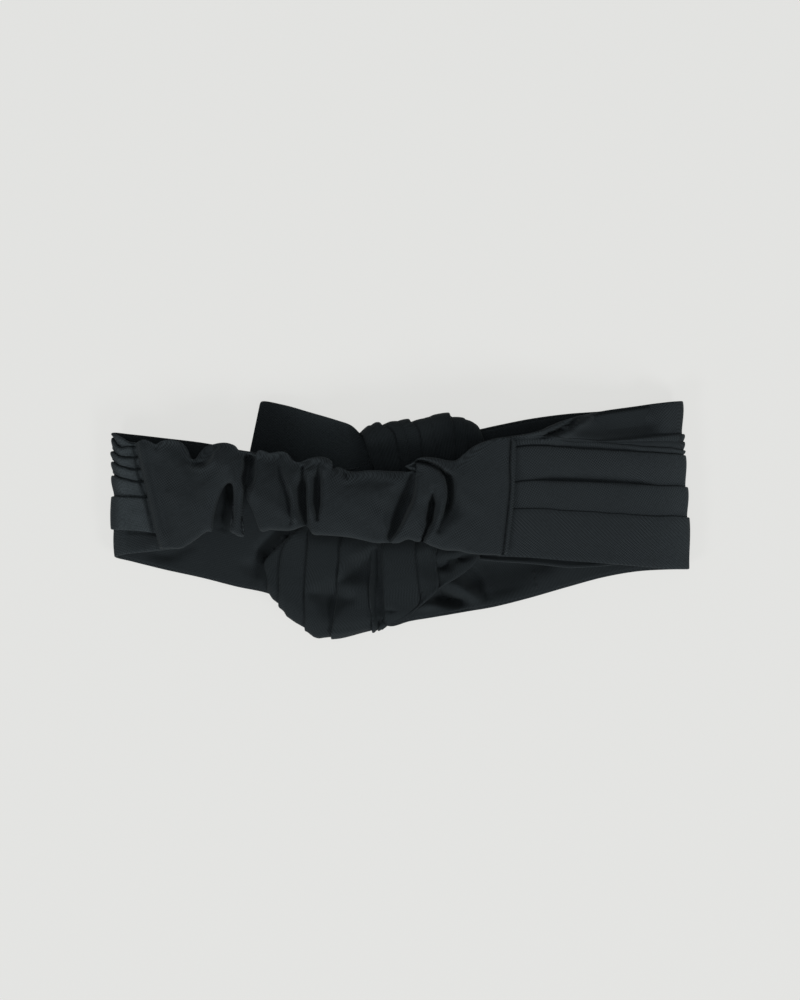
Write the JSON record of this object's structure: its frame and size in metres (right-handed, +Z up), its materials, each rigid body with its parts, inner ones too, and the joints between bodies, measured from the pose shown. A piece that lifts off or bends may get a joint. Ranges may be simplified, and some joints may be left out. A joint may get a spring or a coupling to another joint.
{
  "type": "turban headband",
  "caption": "Wide knife-pleated cloth headband with a wound pleated knot and tail at the front and a ruched elastic back, lying flat on its knot.",
  "frame": {"origin": "centre of the overall box at its base, where the headband rests", "axes": "+X along the flattened loop, towards the end with the wider pleats; +Y across the width of the band, towards the edge that the knot's tail sticks out at; +Z up, from the front of the headband that lies below to its elastic back"},
  "size_m": [0.2398, 0.098, 0.04],
  "materials": {
    "black_twill": "matte",
    "lining_twill": "matte"
  },
  "bodies": {
    "root": {"pleated_band": "black_twill", "band_lining": "lining_twill", "elastic_casing": "black_twill", "knot_wrap": "black_twill", "knot_tail": "black_twill"}
  },
  "joints": []
}
